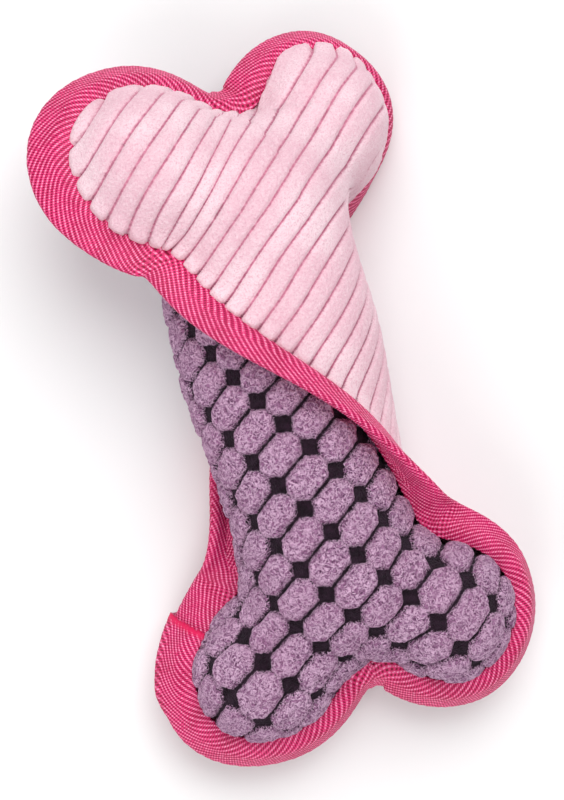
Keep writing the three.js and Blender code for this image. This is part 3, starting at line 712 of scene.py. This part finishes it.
def webbing():
    n = Nodes("webbing")
    place = n.object_space()
    split = n.add("ShaderNodeSeparateXYZ")
    n.put(split.inputs[0], n.uv())

    def wave(slant):
        across = n.math("MULTIPLY", split.outputs[1], slant[1])
        turns = n.math("MULTIPLY_ADD", split.outputs[0], slant[0], across)
        return n.math("COSINE", n.math("MULTIPLY", turns, 2 * math.pi))

    rib, gap = wave(WEAVE_RIB), wave(WEAVE_BREAK)
    uneven = n.noise(place, 140, 2.0)
    fibre = n.noise(place, 1500, 2.0, 0.6)
    float_on = n.math("MULTIPLY_ADD", n.ramp(gap, -0.6, 0.4), 0.55, 0.45)
    thread = n.math("MULTIPLY", n.ramp(rib, -0.2, 0.9), float_on)
    # Dark where neither thread lies on top: painted shade in the holes of the weave
    weave_hole_shade = n.math("SUBTRACT", 1.0, n.math("MAXIMUM", n.ramp(rib, -0.9, 0.1), n.ramp(gap, -0.7, 0.5)))
    base = n.mix(n.ramp(uneven, 0.35, 0.7), rgb(222, 44, 112), rgb(204, 36, 98))
    base = n.mix(n.ramp(weave_hole_shade, 0.05, 0.7), base, rgb(128, 0, 44))
    # Light on the tops of the ribs, broken by the fibres: painted glossy highlight on the threads
    light = n.math("MULTIPLY", n.ramp(thread, 0.25, 0.95), n.ramp(fibre, 0.30, 0.62))
    base = n.mix(light, base, rgb(255, 164, 202))
    from_cut = n.math("MULTIPLY_ADD", fibre, 2.0, n.value("from_cut"))
    frayed = n.math("SUBTRACT", 1.0, n.ramp(from_cut, 1.4, 3.0))
    base = n.mix(frayed, base, rgb(224, 24, 88))
    n.put(n.shader.inputs["Base Color"], base)
    n.shader.inputs["Roughness"].default_value = 0.5
    n.shader.inputs["Specular IOR Level"].default_value = 0.25
    n.bump(n.math("MULTIPLY_ADD", thread, 0.6, fibre), 0.0003, 0.5)
    return n.material


def fibrefill():
    n = Nodes("fibrefill")
    place = n.object_space()
    strand = n.noise(place, 700, 4.0, 0.7)
    lump = n.noise(place, 90, 2.0)
    colour = n.mix(strand, rgb(214, 210, 200), rgb(250, 249, 244))
    colour = n.mix(n.math("MULTIPLY", lump, 0.3), colour, rgb(228, 224, 214))
    n.put(n.shader.inputs["Base Color"], colour)
    n.shader.inputs["Roughness"].default_value = 0.95
    n.bump(strand, 0.001, 0.7)
    return n.material


def plastic(name, light, dark, roughness):
    n = Nodes(name)
    place = n.object_space()
    grain = n.noise(place, 420, 3.0)
    flow = n.noise(place, 70, 1.0)
    n.put(n.shader.inputs["Base Color"], n.mix(n.ramp(flow, 0.3, 0.7), rgb(*dark), rgb(*light)))
    n.put(n.shader.inputs["Roughness"], n.math("MULTIPLY_ADD", grain, 0.2, roughness))
    n.bump(grain, 0.0002, 0.25)
    return n.material


MATERIALS = {
    "ribbed_plush": ribbed_plush(),
    "tufted_plush": tufted_plush(),
    "webbing": webbing(),
    "fibrefill": fibrefill(),
    "squeaker_plastic": plastic("squeaker_plastic", (244, 243, 236), (226, 224, 212), 0.38),
    "whistle_plastic": plastic("whistle_plastic", (236, 234, 226), (214, 211, 200), 0.42),
    "reed_film": plastic("reed_film", (222, 214, 186), (202, 192, 160), 0.3),
}


# The two plush panels

def shared_rows(s):
    return np.abs(s[:, 0]) <= NOTCH_S + 1e-9


def weld(obj):
    """Takes away points that no face uses and faces with no area."""
    b = bmesh.new()
    b.from_mesh(obj.data)
    loose = [p for p in b.verts if not p.link_faces]
    bmesh.ops.delete(b, geom=loose, context="VERTS")
    bmesh.ops.dissolve_degenerate(b, edges=b.edges, dist=1e-7)
    b.to_mesh(obj.data)
    b.free()


def panel(name, face, relief, base, height, nap, material, nodes):
    u, s = pattern(*PANEL_GRID)
    sides = np.array([-1, 1])[:, None, None]
    uu, ss = sides * u, np.repeat(s[None], 2, 0)
    v, _ = form(uu, ss, face)
    cloth = smooth_map(*laid_flat(face), np.stack([uu, ss, v], -1))
    if face > 0:
        cloth = drawn_straight(uu, ss, face, cloth)
    away = seam_distance(uu, ss, v)
    pile, mark = relief(cloth[..., 0], cloth[..., 1], away)
    grown = height * pile + base
    if face > 0:
        grown = grown + humps(uu, ss, BULGES) * np.exp(-((away / BULGE_WIDTH) ** 2))
    fine = lattice_noise(np.stack([cloth[..., 0], cloth[..., 1], v], -1), NAP_SIZE, NAP_SEED)
    grown = grown + nap * fine * pile
    points = placed(*lifted(uu, ss, face, grown))
    count = u.size
    rows, columns = u.shape
    index = np.arange(2 * count).reshape(2, rows, columns)
    index[1, shared_rows(s), 0] = index[0, shared_rows(s), 0]
    quads = []
    for side in (0, 1):
        g = index[side]
        q = np.stack([g[:-1, :-1], g[:-1, 1:], g[1:, 1:], g[1:, :-1]], -1).reshape(-1, 4)
        quads.append(q if (side == 1) == (face > 0) else q[:, ::-1])
    obj = mesh_object(name, points, np.vstack(quads))
    add_value(obj, "mark", mark)
    add_uv(obj, cloth.reshape(-1, 2) * 0.001)
    obj.data.materials.append(MATERIALS[material])
    weld(obj)
    soft(obj, nodes)


panel("ribbed_pink_plush", 1, wales, WALE_FROM, WALE_HEIGHT, WALE_NAP,
      "ribbed_plush", ["ribbed_pink_panel"])
panel("tufted_purple_plush", -1, tufts, TUFT_FROM, TUFT_HEIGHT, TUFT_NAP,
      "tufted_plush", ["tufted_purple_panel"])


# Folded webbing along the seam

def evened(rings):
    """Rings of the tape evened along it; the last ring lies on the first."""
    loop = rings[:-1]
    reach = BRIDGE_REACH / TAPE_STEP
    steps = np.arange(-int(3 * reach), int(3 * reach) + 1)
    weights = np.exp(-((steps / reach) ** 2) / 2)
    weights /= weights.sum()
    even = sum(w * np.roll(loop, k, 0) for k, w in zip(steps, weights))
    return np.concatenate([even, even[:1]])


def tape():
    total = SEAM_LENGTH[-1]
    lap_u = crossing(lambda across: swell(across, LAP_S), 0.0, FAR)
    start = SEAM_LENGTH[np.hypot(SEAM[:, 0] - lap_u, SEAM[:, 1] - LAP_S).argmin()]
    stations = int(total / TAPE_STEP)
    at = np.arange(stations + 1) / stations * total
    edge = TAPE_FROM - TAPE_TUCKED
    face_outs = np.linspace(edge, TAPE_FROM + TAPE_VISIBLE - TAPE_FOLD_HALF, TAPE_ACROSS)
    halves = TAPE_HALF + (TAPE_FOLD_HALF - TAPE_HALF) * np.linspace(0, 1, TAPE_ACROSS) ** 2
    fold_turn = np.radians(FOLD_TURNS)
    fold = [(face_outs[-1] + TAPE_FOLD_HALF * math.cos(t), TAPE_FOLD_HALF * math.sin(t)) for t in fold_turn]
    side = [(edge - TAPE_LIP, TAPE_LIP_HALF)] + list(zip(face_outs, halves))
    core = TAPE_FROM + TAPE_CORE_AT
    inner = [(core, TAPE_CORE_HALF), (core, -TAPE_CORE_HALF)]
    profile = np.array(side + fold + [(o, -h) for o, h in reversed(side)] + inner[::-1])
    outs, offs = profile[:, 0], profile[:, 1]
    count = len(profile)
    visible = count - len(inner)
    width = np.concatenate([[0], np.cumsum(np.hypot(np.diff(outs), np.diff(offs)))])
    from_fold = np.abs(width - width[visible // 2])[None, :]
    here = np.repeat(at[:, None], count, 1)
    here[-1] += FRAY * np.random.default_rng(FRAY_SEED).uniform(0, 1, count)
    u = np.interp((here + start) % total, SEAM_LENGTH, SEAM[:, 0])
    s = np.interp((here + start) % total, SEAM_LENGTH, SEAM[:, 1])
    middle = fin_point(u[:, 0], s[:, 0], outs[visible // 2], 0.0)
    steps = np.linalg.norm(np.diff(middle, axis=0), axis=1)
    along = np.repeat(np.concatenate([[0], np.cumsum(steps)])[:, None], count, 1)

    def wave(slant):
        return np.cos(2 * np.pi * (along * slant[0] + from_fold * slant[1]))

    weave = WEAVE_RIB_SHARE * wave(WEAVE_RIB) + WEAVE_BREAK_SHARE * wave(WEAVE_BREAK)
    on_face = np.zeros(count)
    on_face[1:visible - 1] = 1
    lap = smoothstep(here, total - LAP_LENGTH - LAP_EASE, total - LAP_LENGTH)
    raised = (WEAVE_HEIGHT * weave + LAP_HEIGHT * lap) * on_face
    offs_here = offs + np.sign(offs) * raised * (np.abs(offs) > OFF_MIDDLE)
    outs_here = outs + (raised + LAP_OUT * lap) * ((outs > face_outs[-1] + FOLD_FROM) * on_face)
    selvedge = SELVEDGE_WAVE * np.cos(2 * np.pi * here / SELVEDGE_STEP)
    outs_here = outs_here - (outs < edge + SELVEDGE_BAND) * selvedge
    bridge = humps(u, s, BRIDGES)

    def drawn_out(out):
        return edge + (out - edge) * (1 + humps(u, s, PULLS) / TAPE_VISIBLE)

    plain = fin_point(u, s, drawn_out(outs), offs)
    share = bridge * np.clip((outs - edge) / (BRIDGE_FULL * TAPE_VISIBLE), 0, 1)
    points = fin_point(u, s, drawn_out(outs_here), offs_here)
    points = points + share[..., None] * (evened(plain) - plain)
    index = np.arange(points.shape[0] * count).reshape(-1, count)
    near, far = index, np.roll(index, -1, 0)
    quads = np.stack([near, np.roll(near, -1, 1), np.roll(far, -1, 1), far], -1).reshape(-1, 4)
    obj = mesh_object("edge_webbing", points, quads)
    add_uv(obj, np.stack([along, np.repeat(from_fold, len(at), 0)], -1).reshape(-1, 2))
    add_value(obj, "from_cut", total - here)
    obj.data.materials.append(MATERIALS["webbing"])
    soft(obj, ["edge_binding"])


tape()


# Stuffing: each wad is lumpy fibre inside its own space

def wad(node):
    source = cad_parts[node]
    mesh = source.data.copy()
    mesh.materials.clear()
    obj = bpy.data.objects.new(node.replace("_wad", "_fill"), mesh)
    bpy.context.scene.collection.objects.link(obj)
    remesh = obj.modifiers.new("even", "REMESH")
    remesh.mode = "VOXEL"
    remesh.voxel_size = WAD_GRAIN
    relax = obj.modifiers.new("relax", "SMOOTH")
    relax.iterations = WAD_RELAX
    bpy.context.view_layer.update()
    done = bpy.data.meshes.new_from_object(obj.evaluated_get(bpy.context.evaluated_depsgraph_get()))
    obj.modifiers.clear()
    obj.data = done
    points = np.empty(len(done.vertices) * 3)
    normals = np.empty(len(done.vertices) * 3)
    done.vertices.foreach_get("co", points)
    done.vertices.foreach_get("normal", normals)
    points, normals = points.reshape(-1, 3), normals.reshape(-1, 3)
    lumps = 0.5 + 0.5 * lattice_noise(points * 1000, LUMP_SIZE, LUMP_SEED)
    points = points - normals * (WAD_INSET + LUMP_DEPTH * lumps)[:, None]
    done.vertices.foreach_set("co", points.ravel())
    done.polygons.foreach_set("use_smooth", np.ones(len(done.polygons), bool))
    done.materials.append(MATERIALS["fibrefill"])
    soft(obj, [node])


for node in ("upper_end_wad", "lower_end_wad", "front_squeaker_wad", "back_squeaker_wad"):
    wad(node)

# Rigid pieces keep their solids
RIGID = {
    "squeaker_base": "squeaker_plastic",
    "squeaker_dome": "squeaker_plastic",
    "whistle_sleeve": "whistle_plastic",
    "voicing_block": "whistle_plastic",
    "reed_strip": "reed_film",
    "reed_clip": "whistle_plastic",
}
for node, slot in RIGID.items():
    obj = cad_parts[node]
    obj.data.materials.clear()
    obj.data.materials.append(MATERIALS[slot])


# Floor, light and camera

def floor():
    size = FLOOR_HALF
    mesh = bpy.data.meshes.new("floor")
    corners = [(-size, -size, 0), (size, -size, 0), (size, size, 0), (-size, size, 0)]
    mesh.from_pydata(corners, [], [(0, 1, 2, 3)])
    obj = bpy.data.objects.new("floor", mesh)
    bpy.context.scene.collection.objects.link(obj)
    n = Nodes("floor_paper")
    n.shader.inputs["Base Color"].default_value = (FLOOR_TONE, FLOOR_TONE, FLOOR_TONE, 1)
    n.shader.inputs["Roughness"].default_value = 0.9
    mesh.materials.append(n.material)


def aim(obj, target):
    direction = Vector(target) - obj.location
    obj.rotation_euler = direction.to_track_quat("-Z", "Y").to_euler()


floor()
for name, (place, size, power) in LIGHTS.items():
    data = bpy.data.lights.new(name, "AREA")
    data.shape = "DISK"
    data.size = size
    data.energy = power
    lamp = bpy.data.objects.new(name, data)
    lamp.location = place
    bpy.context.scene.collection.objects.link(lamp)
    aim(lamp, (0, 0, 0))

world = bpy.data.worlds.new("studio")
bpy.context.scene.world = world
world.use_nodes = True
world.node_tree.nodes["Background"].inputs["Color"].default_value = (1, 1, 1, 1)
world.node_tree.nodes["Background"].inputs["Strength"].default_value = WORLD_STRENGTH

camera_data = bpy.data.cameras.new("camera")
camera_data.sensor_fit = "VERTICAL"
camera_data.sensor_height = SENSOR_HEIGHT
camera_data.lens = SENSOR_HEIGHT * CAMERA_DISTANCE / PICTURE_HEIGHT
camera = bpy.data.objects.new("camera", camera_data)
camera.location = (TARGET[0], TARGET[1], MIDDLE_HEIGHT + CAMERA_DISTANCE)
camera.rotation_euler = (0, 0, CAMERA_TURN)
bpy.context.scene.collection.objects.link(camera)
bpy.context.scene.camera = camera
bpy.context.scene.view_settings.view_transform = "Standard"

bpy.context.view_layer.update()
